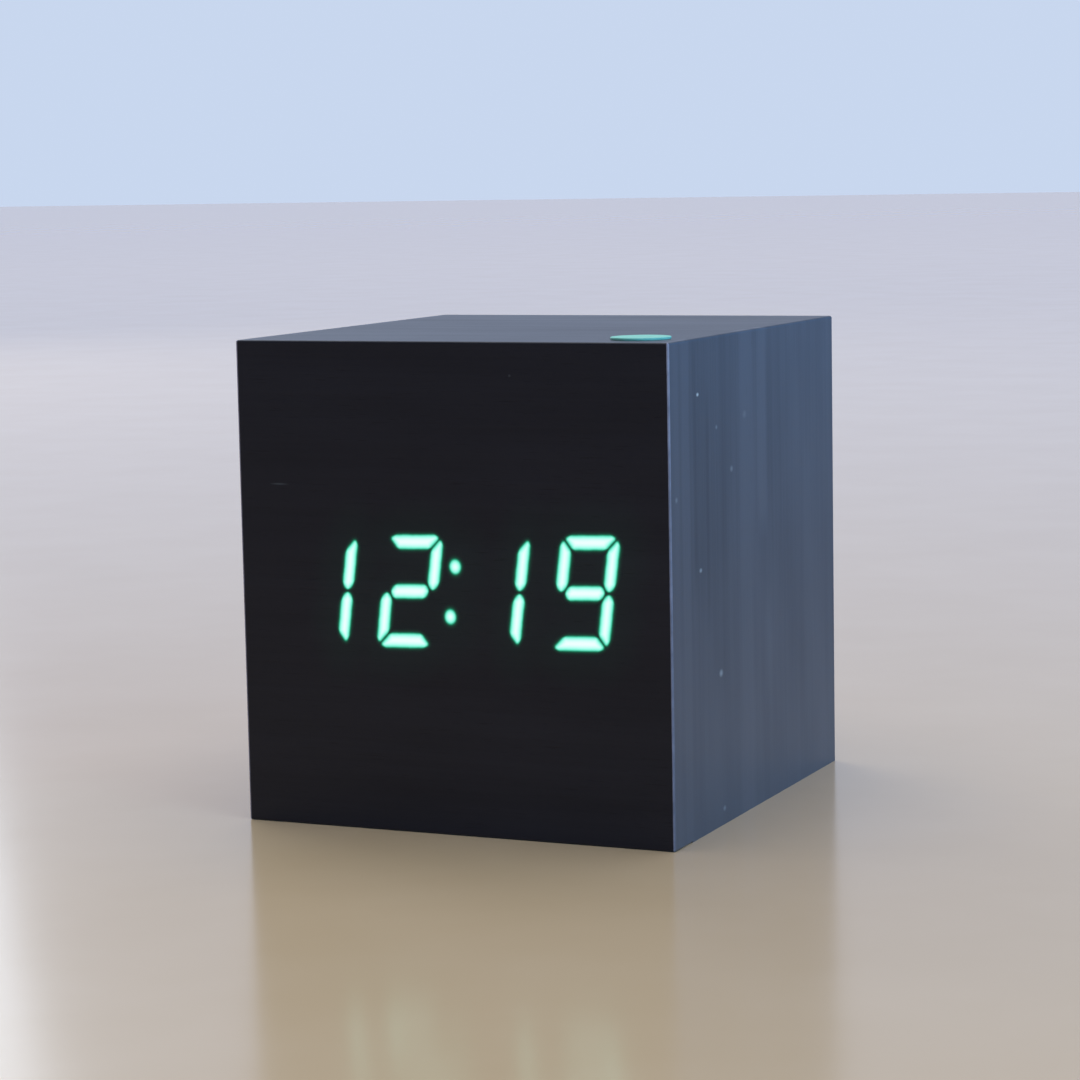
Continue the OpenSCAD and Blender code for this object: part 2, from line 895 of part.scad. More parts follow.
// Ridges between the cells, hollowed to the cells' curve
module cell_ridges() {
    difference() {
        for (i = [0, 1])
            block(
                [-bay_x * 0.8, bay_floor_y - 0.2, cell_z[i] + (cell_pitch - ridge_w) / 2],
                [bay_x * 0.8, bay_floor_y + ridge_h, cell_z[i] + (cell_pitch + ridge_w) / 2]
            );
        for (z = cell_z)
            rod_x(cell_y, z, -bay_x, bay_x, cell_d / 2 + 0.15);
    }
}

vent_count = 9;
vent_pitch = 3;
vent_w = 1.2;
vent_h = 3;
mic_hole_r = 0.6;
hole_gap = 0.15;     // round a key or the inlet where it passes through the plate

// Everything cut through the chassis plate for keys, sound, the inlet and the screws
module plate_openings() {
    for (x = key_x)
        rod_y(x, key_z, plate_in_y - CUT, plate_out_y + CUT, key_d / 2 + hole_gap, key_d / 2 + hole_gap);
    rod_y(inlet_x, key_z, plate_in_y - CUT, plate_out_y + CUT,
        inlet_nose_r + hole_gap, inlet_nose_r + hole_gap);
    rod_y(mic_x, key_z, plate_in_y - CUT, plate_out_y + CUT, mic_hole_r, mic_hole_r);
    for (i = [0:vent_count - 1])
        slab(plate_in_y - CUT, plate_out_y + CUT)
            translate([(i - (vent_count - 1) / 2) * vent_pitch - vent_w / 2, inner_z0 + 1.5])
                round_rect([0, 0], [vent_w, vent_h], vent_w / 2 - 0.01);
    for (x = [-1, 1] * chassis_screw_x, z = chassis_screw_z) {
        rod_y(x, z, plate_in_y - CUT, plate_out_y + CUT, wood_screw_r + 0.1, wood_screw_r + 0.1);
        rod_y(x, z, plate_out_y - sink_t, plate_out_y, wood_screw_r + 0.2, sink_r);
        rod_y(x, z, plate_out_y, plate_out_y + CUT, sink_r, sink_r);
    }
}

// The outline that runs the given distance outside the key and inlet centres
module panel_outline(reach) {
    round_rect([key_x[0] - reach, key_z - reach], [inlet_x + reach, key_z + reach], reach - 0.1);
}

// Shallow frame moulded round the keys, microphone and inlet
module key_panel_groove() {
    slab(plate_out_y - groove_t, plate_out_y + CUT)
        difference() {
            panel_outline(4.3);
            panel_outline(3.9);
        }
}

// Slots at the ends of the bay that the contacts' tails pass through
module contact_slots() {
    for (sx = [-1, 1], z = cell_z)
        block(
            [sx > 0 ? bay_x - 0.6 : -bay_x, bay_floor_y - bay_wall - CUT, z - 1.1],
            [sx > 0 ? bay_x : 0.6 - bay_x, bay_floor_y + CUT, z + 1.1]
        );
}

// Plate that closes the back of the case, with the bosses that carry the control board
module rear_chassis() {
    color([0.09, 0.09, 0.1])
        difference() {
            union() {
                slab(plate_in_y, plate_out_y)
                    round_rect([-chassis_x, chassis_z0], [chassis_x, chassis_z1], 1);
                for (x = boss_x, z = boss_z)
                    rod_y(x, z, control_y, plate_in_y + 0.2, boss_r, boss_r);
            }
            block([-bay_x, plate_in_y - CUT, bay_z0], [bay_x, rear_y, bay_z1]);
            block([-bay_x, plate_out_y - door_t - 0.1, hinge_z], [bay_x, rear_y, door_z1 + door_gap]);
            block([-bay_x, hinge_y - door_t / 2 - door_gap, door_open_z0], [bay_x, rear_y, hinge_z + 1]);
            for (sx = [-1, 1])
                rod_x(hinge_y, hinge_z, sx > 0 ? bay_x - CUT : -chassis_x - CUT,
                    sx > 0 ? chassis_x + CUT : CUT - bay_x, hinge_pin_r + RUNNING);
            slab(plate_out_y - nail_t, rear_y)
                round_rect([-nail_w / 2, door_z1], [nail_w / 2, door_z1 + nail_h], 0.8);
            for (x = boss_x, z = boss_z)
                rod_y(x, z, control_y - CUT, control_y + 4.2, small_screw_r + FIT, small_screw_r + FIT);
            plate_openings();
            key_panel_groove();
        }
}

// Open box that holds the cells, joined to the front of the plate
module battery_tray() {
    color([0.09, 0.09, 0.1])
        difference() {
            union() {
                difference() {
                    block(
                        [-chassis_x, bay_floor_y - bay_wall, bay_z0 - bay_low_wall],
                        [chassis_x, plate_in_y, bay_z1 + bay_high_wall]
                    );
                    block([-bay_x, bay_floor_y, bay_z0], [bay_x, plate_in_y + CUT, bay_z1]);
                }
                cell_ridges();
                for (i = [0:2], sx = [-1, 1])
                    polarity_mark(sx * bay_x * 0.88, cell_z[i], sx == (i == 1 ? -1 : 1));
            }
            contact_slots();
        }
}

// Countersunk cross-head screws that hold the chassis to the corner blocks
module chassis_screws() {
    color([0.25, 0.25, 0.26])
        for (x = [-1, 1] * chassis_screw_x, z = chassis_screw_z)
            difference() {
                union() {
                    rod_y(x, z, plate_in_y - wood_screw_l + 0.5, plate_out_y - sink_t,
                        wood_screw_r, wood_screw_r);
                    rod_y(x, z, plate_out_y - sink_t, plate_out_y - 0.05, wood_screw_r, sink_r - 0.15);
                }
                for (turn = [45, 135])
                    translate([x, plate_out_y, z])
                        rotate([0, turn, 0])
                            cube([2.3, 1.2, 0.5], center = true);
            }
}

// Battery door: a plate on a rounded hinge edge, with a sprung tongue, grip bars and an arrow
module battery_door() {
    tongue_z0 = door_z1 - tongue_l;
    color([0.1, 0.1, 0.11])
        difference() {
            union() {
                block([-door_x, hinge_y - door_t / 2, hinge_z], [door_x, hinge_y + door_t / 2, door_z1]);
                rod_x(hinge_y, hinge_z, -door_x, door_x, door_t / 2);
                rod_x(hinge_y, hinge_z, -chassis_x + 0.2, chassis_x - 0.2, hinge_pin_r);
                for (i = [1:grip_count])
                    block(
                        [-tongue_w / 2 + 1.5, plate_out_y - 0.2, door_z1 - 0.3 - i * grip_pitch],
                        [tongue_w / 2 - 1.5, plate_out_y + 0.25, door_z1 - 0.3 - i * grip_pitch + grip_h]
                    );
                for (x = door_rib_x)
                    block(
                        [x - 0.4, plate_out_y - door_t - 0.75, hinge_z + 3],
                        [x + 0.4, plate_out_y - door_t + 0.2, bay_z1 - 1.2]
                    );
            }
            for (sx = [-1, 1])
                block(
                    [sx * (tongue_w + tongue_slot) / 2 - tongue_slot / 2, hinge_y - 2, tongue_z0],
                    [sx * (tongue_w + tongue_slot) / 2 + tongue_slot / 2, rear_y, door_z1 + CUT]
                );
            slab(plate_out_y - groove_t, rear_y)
                polygon([[-2.2, tongue_z0 - 5.2], [2.2, tongue_z0 - 5.2], [0, tongue_z0 - 2]]);
        }
}

// Keys ----------------------------------------------------------------------------------

key_face_y = plate_out_y + key_proud;

// A round key cap with a retaining flange and a mark cut into its face
module key_cap(x) {
    edge = 0.3;
    color([0.13, 0.13, 0.14])
        difference() {
            union() {
                rod_y(x, key_z, key_back_y, key_back_y + flange_t, flange_r, flange_r);
                rod_y(x, key_z, key_back_y, key_face_y - edge, key_d / 2, key_d / 2);
                rod_y(x, key_z, key_face_y - edge, key_face_y, key_d / 2, key_d / 2 - edge);
            }
            slab(key_face_y - mark_h, key_face_y + CUT)
                translate([x, key_z])
                    children();
        }
}

module set_button() {
    key_cap(key_x[0])
        difference() {
            circle(1.4);
            circle(0.9);
        }
}

module up_button() {
    key_cap(key_x[1])
        polygon([[-1.4, -0.9], [1.4, -0.9], [0, 1.4]]);
}

module down_button() {
    key_cap(key_x[2])
        polygon([[-1.4, 0.9], [1.4, 0.9], [0, -1.4]]);
}

// Batteries -----------------------------------------------------------------------------

contact_t = 0.4;
dimple_t = 0.5;
contact_x = bay_x - contact_t;
nub_l = 1;
nub_r = 1.9;

// One cell; dir is +1 when its button end points to +X
module cell(z, dir) {
    color([0.2, 0.35, 0.3])
        translate([dir * (contact_x - dimple_t), cell_y, z])
            rotate([0, dir > 0 ? -90 : 90, 0]) {
                cylinder(h = nub_l + 0.1, r = nub_r);
                translate([0, 0, nub_l])
                    cylinder(h = 0.5, r1 = cell_d / 2 - 0.5, r2 = cell_d / 2);
                translate([0, 0, nub_l + 0.5])
                    cylinder(h = cell_l - nub_l - 0.8, r = cell_d / 2);
                translate([0, 0, cell_l - 0.3])
                    cylinder(h = 0.3, r = cell_d / 2 - 0.6);
            }
}

module cell_top() {
    cell(cell_z[2], 1);
}

module cell_middle() {
    cell(cell_z[1], -1);
}

module cell_bottom() {
    cell(cell_z[0], 1);
}

// A contact plate against the end wall at side sx, from z0 to z1, with a tail through the floor
module contact_plate(sx, z0, z1, tail_z) {
    block(
        [sx > 0 ? contact_x : -bay_x, bay_floor_y + 0.1, z0],
        [sx > 0 ? bay_x : -contact_x, bay_floor_y + 9.6, z1]
    );
    block(
        [sx > 0 ? contact_x : -bay_x, bay_floor_y - bay_wall - 1.4, tail_z - 1],
        [sx > 0 ? bay_x : -contact_x, bay_floor_y + 0.2, tail_z + 1]
    );
}

// The raised spot that a cell's button end rests on
module contact_dimple(sx, z) {
    rod_x(cell_y, z, sx > 0 ? contact_x - dimple_t : -contact_x - 0.1,
        sx > 0 ? contact_x + 0.1 : dimple_t - contact_x, 1.6);
}

plate_half = 4.2;

module positive_terminal() {
    color([0.8, 0.8, 0.78]) {
        contact_plate(1, cell_z[2] - plate_half, cell_z[2] + plate_half, cell_z[2]);
        contact_dimple(1, cell_z[2]);
    }
}

module negative_terminal() {
    color([0.8, 0.8, 0.78])
        contact_plate(-1, cell_z[0] - plate_half, cell_z[0] + plate_half, cell_z[0]);
}

module left_link() {
    color([0.8, 0.8, 0.78]) {
        contact_plate(-1, cell_z[1] - plate_half, cell_z[2] + plate_half, cell_z[1]);
        contact_dimple(-1, cell_z[1]);
    }
}

module right_link() {
    color([0.8, 0.8, 0.78]) {
        contact_plate(1, cell_z[0] - plate_half, cell_z[1] + plate_half, cell_z[0]);
        contact_dimple(1, cell_z[0]);
    }
}

spring_wire_r = 0.25;
spring_wide_r = 3.4;
spring_narrow_r = 2;
spring_turns = 3;
spring_steps = 14;
spring_l = 2 * contact_x - dimple_t - cell_l;

// A conical coil from the contact plate at side sx to the flat end of its cell
module contact_spring(sx, z) {
    count = spring_turns * spring_steps;
    rise = spring_l - 2 * spring_wire_r - 0.1;
    tube(
        [
            for (i = [0:count])
                let (
                    s = i / count,
                    r = spring_wide_r + (spring_narrow_r - spring_wide_r) * s,
                    x = contact_x - spring_wire_r - 0.05 - s * rise,
                    turn = 360 * i / spring_steps
                )
                [sx * x, cell_y + r * cos(turn), z + r * sin(turn)]
        ],
        spring_wire_r, [1, 0, 0], 6
    );
}

module contact_springs() {
    color([0.8, 0.8, 0.78]) {
        contact_spring(-1, cell_z[2]);
        contact_spring(1, cell_z[1]);
        contact_spring(-1, cell_z[0]);
    }
}

lead_r = 0.5;
tail_y = bay_floor_y - bay_wall - 0.9;
solder_x = contact_x - lead_r - 0.15;
lead_end_y = control_y - control_t - 0.1;

// Insulated wire from the positive terminal's tail to the control board
module positive_lead() {
    color([0.75, 0.08, 0.06])
        tube(
            smooth_path(
                [[solder_x, tail_y, cell_z[2] - 1], [solder_x, tail_y, cell_z[2] + 1],
                    [21.5, 12.5, 44], [17, 12.5, 48], [14.5, 16, 50.5], [14, 19.5, 51],
                    [14, lead_end_y, 51]],
                4
            ),
            lead_r, [1, 0.2, 0]
        );
}

// Insulated wire from the negative terminal's tail to the control board
module negative_lead() {
    color([0.06, 0.06, 0.06])
        tube(
            smooth_path(
                [[-solder_x, tail_y, cell_z[0] - 1], [-solder_x, tail_y, cell_z[0] + 1],
                    [-22, 13, 24], [-21, 12, 34], [-19, 12, 43], [-15.5, 13.5, 48.5],
                    [-14, 17.5, 50.5], [-14, 19.8, 51], [-14, lead_end_y, 51]],
                4
            ),
            lead_r, [1, 0.2, 0]
        );
}

front_film();
lit_windows();
dark_windows();
front_board();
wrap_film();
bottom_film();
top_board();
bottom_board();
left_board();
right_board();
corner_blocks();
top_label();
diffuser_sheet();
segment_reflector();
display_leds();
display_pcb();
display_screws();
clock_chip();
driver_chip();
chip_leads();
crystal();
capacitors();
smd_parts();
buzzer();
display_header();
ribbon_cable();
control_header();
control_pcb();
control_screws();
switch_bodies();
microphone();
thermistor();
dc_socket();
dc_pin();
rear_chassis();
battery_tray();
chassis_screws();
battery_door();
set_button();
up_button();
down_button();
set_plunger();
up_plunger();
down_plunger();
cell_top();
cell_middle();
cell_bottom();
positive_terminal();
negative_terminal();
left_link();
right_link();
contact_springs();
positive_lead();
negative_lead();
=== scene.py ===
import math

import bpy
import numpy as np
from mathutils import Matrix, Vector
from mathutils.geometry import convex_hull_2d

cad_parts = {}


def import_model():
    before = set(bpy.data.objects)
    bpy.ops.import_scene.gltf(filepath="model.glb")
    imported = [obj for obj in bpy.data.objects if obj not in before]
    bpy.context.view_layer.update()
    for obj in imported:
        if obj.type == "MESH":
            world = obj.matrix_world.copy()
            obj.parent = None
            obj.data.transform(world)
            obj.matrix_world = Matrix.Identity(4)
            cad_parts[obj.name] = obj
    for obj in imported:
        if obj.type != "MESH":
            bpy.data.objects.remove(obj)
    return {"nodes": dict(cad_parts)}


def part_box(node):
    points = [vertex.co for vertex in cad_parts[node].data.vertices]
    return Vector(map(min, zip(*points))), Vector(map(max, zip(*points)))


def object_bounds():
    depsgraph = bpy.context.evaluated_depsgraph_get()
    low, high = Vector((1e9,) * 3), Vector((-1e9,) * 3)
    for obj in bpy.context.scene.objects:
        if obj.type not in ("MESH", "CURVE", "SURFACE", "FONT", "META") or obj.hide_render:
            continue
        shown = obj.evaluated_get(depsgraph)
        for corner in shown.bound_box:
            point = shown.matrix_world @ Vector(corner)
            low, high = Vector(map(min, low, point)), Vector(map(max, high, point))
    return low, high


# Looks of the cube alarm clock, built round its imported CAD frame.
# Metres, +Z up, -Y is the display face and +X the right side as seen from the front.

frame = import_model()
CAD_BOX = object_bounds()
NODES = frame["nodes"]
MM = 0.001

# The case's lowest corner at the front left, and its highest corner at the back right
CASE_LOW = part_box("front_film")[0]
CASE_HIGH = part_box("wrap_film")[1]
SAME = 1e-6         # places closer than this are the same place


# Node tree helpers ------------------------------------------------------------------------


def add(tree, kind, inputs=None, **settings):
    """Adds a node; inputs maps a socket to a value or to another node's output socket."""
    node = tree.nodes.new(kind)
    for name, value in settings.items():
        setattr(node, name, value)
    for key, value in (inputs or {}).items():
        if isinstance(value, bpy.types.NodeSocket):
            tree.links.new(value, node.inputs[key])
        else:
            node.inputs[key].default_value = value
    return node


def calc(tree, operation, a, b=0.0):
    return add(tree, "ShaderNodeMath", {0: a, 1: b}, operation=operation).outputs[0]


def vector_calc(tree, operation, a, b=(0.0, 0.0, 0.0)):
    return add(tree, "ShaderNodeVectorMath", {0: a, 1: b}, operation=operation)


def here(tree):
    """The point's place in the CAD frame: every object's origin is the frame's origin."""
    return add(tree, "ShaderNodeTexCoord").outputs["Object"]


def axes(tree):
    return add(tree, "ShaderNodeSeparateXYZ", {0: here(tree)}).outputs


def noise(tree, stretch, detail=3.0, roughness=0.5, offset=(0.0, 0.0, 0.0)):
    """Noise with stretch cycles per metre along each axis."""
    scaled = vector_calc(tree, "MULTIPLY", here(tree), stretch).outputs[0]
    moved = vector_calc(tree, "ADD", scaled, offset).outputs[0]
    inputs = {"Vector": moved, "Scale": 1.0, "Detail": detail, "Roughness": roughness}
    return add(tree, "ShaderNodeTexNoise", inputs).outputs[0]


def remap(tree, value, low, high, to_low=0.0, to_high=1.0):
    """Stretches low..high to to_low..to_high, and holds what lies outside at its ends."""
    inputs = {0: value, 1: low, 2: high, 3: to_low, 4: to_high}
    return add(tree, "ShaderNodeMapRange", inputs, clamp=True).outputs[0]


def mix(tree, factor, a, b):
    return add(tree, "ShaderNodeMix", {0: factor, 6: a, 7: b}, data_type="RGBA").outputs[2]


def ramp(tree, value, stops):
    """Turns a value into a colour between stops, each a place from 0 to 1 and its colour."""
    node = add(tree, "ShaderNodeValToRGB", {0: value})
    band = node.color_ramp
    while len(band.elements) < len(stops):
        band.elements.new(1.0)
    for element, (place, colour) in zip(band.elements, stops):
        element.position = place
        element.color = (*colour, 1.0)
    return node.outputs[0]


def bump(tree, height, depth, normal=None):
    """Relief of the given depth in metres, laid over the relief of another bump if there is one."""
    inputs = {"Height": height, "Distance": depth, "Strength": 1.0}
    if normal is not None:
        inputs["Normal"] = normal
    return add(tree, "ShaderNodeBump", inputs).outputs[0]


def rgba(colour):
    return (*colour, 1.0)


def material(name, roughness=0.5, **fixed):
    """A new Principled material; fixed sets constant sockets, such as metallic or coat_weight."""
    made = bpy.data.materials.new(name)
    made.use_nodes = True
    shader = made.node_tree.nodes["Principled BSDF"]
    shader.inputs["Roughness"].default_value = roughness
    for key, value in fixed.items():
        socket = shader.inputs[key.replace("_", " ").title().replace("Ior", "IOR")]
        socket.default_value = value
    return made, made.node_tree, shader


def join(tree, shader, **inputs):
    """Links outputs to the shader's sockets, named like base_color."""
    for key, value in inputs.items():
        tree.links.new(value, shader.inputs[key.replace("_", " ").title()])


# The lit strokes ----------------------------------------------------------------------------


GRID = 1e-6         # step to which a vertex's place is rounded, so that doubled vertices agree
ROUND = 12          # a stroke outline with more sides than this is one of the colon's dots
CORNER = 0.32 * MM  # radius to which the light rounds a stroke's corners
GLOW_IN, GLOW_OUT, GLOW_END = -0.9 * MM, 0.6 * MM, 6.0 * MM    # reach of the light about an edge


def loose_parts(mesh):
    """Groups of vertex places, one for each separate solid of a mesh."""
    places = [tuple(round(c / GRID) for c in v.co) for v in mesh.vertices]
    parent = {p: p for p in places}

    def root(p):
        while parent[p] != p:
            parent[p] = parent[parent[p]]
            p = parent[p]
        return p

    for edge in mesh.edges:
        a, b = (root(places[i]) for i in edge.vertices)
        parent[a] = b
    groups = {}
    for p in sorted(set(places)):
        groups.setdefault(root(p), []).append(p)
    return [np.array(g) * GRID for _, g in sorted(groups.items())]


def stroke_sides(points):
    """A stroke's straight sides seen from the front, each an outward normal and how far out it is."""
    flat = points[:, [0, 2]]
    corners = flat[convex_hull_2d([Vector(p) for p in flat])]
    middle = corners.mean(0)
    sides = []
    for a, b in zip(corners, np.roll(corners, -1, axis=0)):
        normal = np.array([b[1] - a[1], a[0] - b[0]]) / np.linalg.norm(b - a)
        if normal @ (middle - a) > 0:
            normal = -normal
        sides.append((normal, normal @ a))
    return sides


def beyond_dot(tree, flat, points):
    """How far outside a round dot the point flat is, from the dot's middle and its two radii."""
    low, high = points.min(0), points.max(0)
    middle, radii = (low + high) / 2, (high - low) / 2
    away = vector_calc(tree, "SUBTRACT", flat, (middle[0], 1.0, middle[2])).outputs[0]
    away = vector_calc(tree, "DIVIDE", away, (radii[0], 1.0, radii[2])).outputs[0]
    share = calc(tree, "SUBTRACT", vector_calc(tree, "LENGTH", away).outputs["Value"], 1.0)
    return calc(tree, "MULTIPLY", share, float(radii[0]))


def beyond_stroke(tree, flat, sides):
    """How far outside a straight-sided stroke the point flat is, with the corners rounded."""
    most, squares = None, 0.0
    for (x, z), reach in sides:
        past = vector_calc(tree, "DOT_PRODUCT", flat, (x, CORNER - reach, z)).outputs["Value"]
        held = calc(tree, "MAXIMUM", past, 0.0)
        inputs = {0: held, 1: held, 2: squares}
        squares = add(tree, "ShaderNodeMath", inputs, operation="MULTIPLY_ADD").outputs[0]
        most = past if most is None else calc(tree, "MAXIMUM", most, past)
    outside = calc(tree, "SUBTRACT", calc(tree, "SQRT", squares), CORNER)
    return calc(tree, "ADD", outside, calc(tree, "MINIMUM", most, 0.0))


def glow_group():
    """A node group: how far outside the nearest lit stroke a point is, negative inside it.
    The point flat has a Y of 1, so that a dot product with it can add a constant."""
    tree = bpy.data.node_groups.new("stroke_edge", "ShaderNodeTree")
    tree.interface.new_socket("Distance", in_out="OUTPUT", socket_type="NodeSocketFloat")
    flat = vector_calc(tree, "MULTIPLY", here(tree), (1.0, 0.0, 1.0)).outputs[0]
    flat = vector_calc(tree, "ADD", flat, (0.0, 1.0, 0.0)).outputs[0]
    nearest = None
    for points in loose_parts(NODES["lit_windows"].data):
        sides = stroke_sides(points)
        if len(sides) > ROUND:
            edge = beyond_dot(tree, flat, points)
        else:
            edge = beyond_stroke(tree, flat, sides)
        nearest = edge if nearest is None else calc(tree, "MINIMUM", nearest, edge)
    output = tree.nodes.new("NodeGroupOutput")
    tree.links.new(nearest, output.inputs[0])
    return tree


GLOW = glow_group()


def stroke_light(tree):
    """Light of the strokes: almost white inside, green at the edges, a faint tint round them."""
    cloud = noise(tree, (700.0, 700.0, 700.0), detail=2.0)
    edge = add(tree, "ShaderNodeGroup", node_tree=GLOW).outputs[0]
    uneven = calc(tree, "MULTIPLY", calc(tree, "SUBTRACT", cloud, 0.75), 0.12 * MM)
    edge = calc(tree, "ADD", edge, uneven)
    near = ramp(tree, remap(tree, edge, GLOW_IN, GLOW_OUT), [
        (0.04, (0.83, 1.0, 0.98)), (0.22, (0.64, 1.0, 0.94)), (0.36, (0.38, 1.0, 0.84)),
        (0.49, (0.13, 0.80, 0.57)), (0.565, (0.018, 0.38, 0.21)), (0.64, (0.001, 0.11, 0.052)),
        (0.72, (0.0, 0.032, 0.016)), (0.84, (0.0, 0.010, 0.005)), (1.0, (0.0, 0.003, 0.0015)),
    ])
    far = remap(tree, edge, GLOW_OUT, GLOW_END, 1.0, 0.0)
    return vector_calc(tree, "MULTIPLY", near, far).outputs[0]


# Materials of the case ----------------------------------------------------------------------

# Pale flecks in the film, dust and nicks with painted glints, as (Y or X, Z, half width, half height,
# strength), millimetres
SIDE_FLECKS = [
    (-21.4, 56.0, 0.50, 0.30, 0.70), (-14.9, 51.4, 0.45, 0.36, 0.16), (-9.6, 45.6, 0.65, 0.50, 0.16),
    (-21.0, 33.9, 0.60, 0.36, 0.34), (-14.2, 19.8, 0.80, 0.60, 0.30), (-13.5, 2.1, 0.65, 0.45, 0.20),
    (-4.6, 52.2, 0.85, 0.65, 0.07), (-29.0, 43.6, 0.55, 0.45, 0.14),
]
FRONT_FLECKS = [(8.75, 58.8, 0.22, 0.22, 0.05), (-24.2, 44.5, 1.50, 0.16, 0.07)]
# Bands down the right side, paler, or darker where the strength is negative: grain, and at the front
# seam a painted highlight, as (Y, half width, from Z, to Z, strength), millimetres
BANDS = [
    # the first band, at the seam behind the front film, is a painted highlight on the film's edge
    (-25.8, 1.3, -9.0, 99.0, 0.34), (-4.4, 2.5, -9.0, 99.0, 0.28), (2.1, 1.7, 40.0, 99.0, 0.26),
    (3.5, 1.4, 17.0, 24.5, 0.14), (-29.3, 1.8, -9.0, 99.0, 0.22), (-19.8, 0.9, 8.0, 14.0, 0.10),
    (-12.5, 1.2, 20.0, 99.0, -0.10), (-22.6, 0.7, 36.0, 60.0, -0.16), (-18.2, 0.6, 30.0, 52.0, -0.12),
]
EDGE = 0.26 * MM    # radius of the case's outer edges, where the film is stretched; a painted highlight pales the two upright front ones


def fade(tree, value, centre, half, soft):
    """1 within half of the centre, falling to 0 over the soft distance outside it."""
    gap = calc(tree, "ABSOLUTE", calc(tree, "SUBTRACT", value, centre))
    return remap(tree, gap, half, half + soft, 1.0, 0.0)


def film_material(name, level_grain):
    """Black wood-grain film, darker on the front with painted shade and paler round the case with painted
    light. Its grain runs level on the front, and round the case elsewhere.
    """
    made, tree, shader = material(name, specular_ior_level=0.40 if level_grain else 0.37)
    across = 2 if level_grain else 1

    def grain(along_mm, across_mm, detail, offset):
        stretch = [1.0 / (along_mm * MM)] * 3
        stretch[across] = 1.0 / (across_mm * MM)
        return noise(tree, tuple(stretch), detail, 0.5, offset)

    fibre = grain(30.0, 0.45, 4.0, (1.0, 2.0, 3.0))
    ribbon = grain(70.0, 3.0, 2.0, (3.0, 7.0, 5.0))
    patch = grain(26.0, 9.0, 2.0, (8.0, 1.0, 4.0))
    pores = remap(tree, grain(3.0, 0.16, 1.0, (5.0, 5.0, 9.0)), 0.66, 0.74)
    tone = calc(tree, "MULTIPLY", fibre, 0.24)
    tone = calc(tree, "ADD", tone, calc(tree, "MULTIPLY", ribbon, 0.38))
    tone = calc(tree, "ADD", tone, calc(tree, "MULTIPLY", patch, 0.38))
    if not level_grain:
        tone = calc(tree, "ADD", tone, side_bands(tree))
    # Darker tones on the front are painted shade; paler, bluer ones round the case are painted light
    if level_grain:
        stops = [(0.30, (0.0030, 0.0040, 0.0095)), (0.70, (0.0105, 0.0120, 0.0200))]
    else:
        stops = [(0.28, (0.0130, 0.0160, 0.0220)), (0.72, (0.0340, 0.0400, 0.0510))]
    colour = mix(tree, pores, ramp(tree, tone, stops), rgba(stops[0][1]))
    # Painted highlight along the two upright edges of the front
    colour = painted_edge_highlight(tree, colour)
    if level_grain:
        join(tree, shader, emission_color=stroke_light(tree))
        shader.inputs["Emission Strength"].default_value = 1.0
        # Pale flecks: dust, and nicks with painted glints
        colour = flecked(tree, colour, FRONT_FLECKS, 1, CASE_LOW.y)
    else:
        # Greyer towards the base: a painted reflection of the floor
        colour = flecked(tree, painted_floor_reflection(tree, colour, patch), SIDE_FLECKS, 0, CASE_HIGH.x)
    rough = remap(tree, tone, 0.25, 0.75, 0.42, 0.34)
    height = calc(tree, "SUBTRACT", fibre, calc(tree, "MULTIPLY", pores, 0.5))
    normal = bump(tree, height, 0.006 * MM, bump(tree, ribbon, 0.020 * MM))
    join(tree, shader, base_color=colour, roughness=rough, normal=normal)
    return made


def side_bands(tree):
    """How much BANDS lighten the grain, one of them a painted highlight; they lie on the right side only.
    """
    x, y, z = axes(tree)
    total = None
    for middle, half, z0, z1, strength in BANDS:
        level = fade(tree, y, middle * MM, half * 0.5 * MM, half * 0.8 * MM)
        height = fade(tree, z, (z0 + z1) / 2 * MM, (z1 - z0) / 2 * MM, 5.0 * MM)
        part = calc(tree, "MULTIPLY", calc(tree, "MULTIPLY", level, height), strength)
        total = part if total is None else calc(tree, "ADD", total, part)
    return calc(tree, "MULTIPLY", total, calc(tree, "GREATER_THAN", x, CASE_HIGH.x - 1.0 * MM))


def flecked(tree, colour, flecks, flat_axis, level):
    """Adds pale flecks, dust and nicks with painted glints, to a colour, on the face at the given level of
    its flat axis.
    """
    for across, z, wide, high, strength in flecks:
        middle = [across * MM, across * MM, z * MM]
        radii = [wide * MM, wide * MM, high * MM]
        middle[flat_axis] = level
        radii[flat_axis] = 0.2 * MM
        away = vector_calc(tree, "SUBTRACT", here(tree), middle).outputs[0]
        away = vector_calc(tree, "DIVIDE", away, radii).outputs[0]
        gap = vector_calc(tree, "LENGTH", away).outputs["Value"]
        inside = remap(tree, gap, 0.25, 1.0, strength, 0.0)
        # pale colour of the dust and of the painted glints
        colour = mix(tree, inside, colour, rgba((0.72, 0.80, 0.80)))
    return colour


def painted_floor_reflection(tree, colour, patch):
    """Greys the film a little towards the base: a painted reflection of the pale floor."""
    low = remap(tree, axes(tree)[2], 0.0, 36.0 * MM, 0.70, 0.0)
    part = calc(tree, "MULTIPLY", low, remap(tree, patch, 0.2, 0.8, 0.7, 1.2))
    return mix(tree, part, colour, rgba((0.084, 0.080, 0.086)))


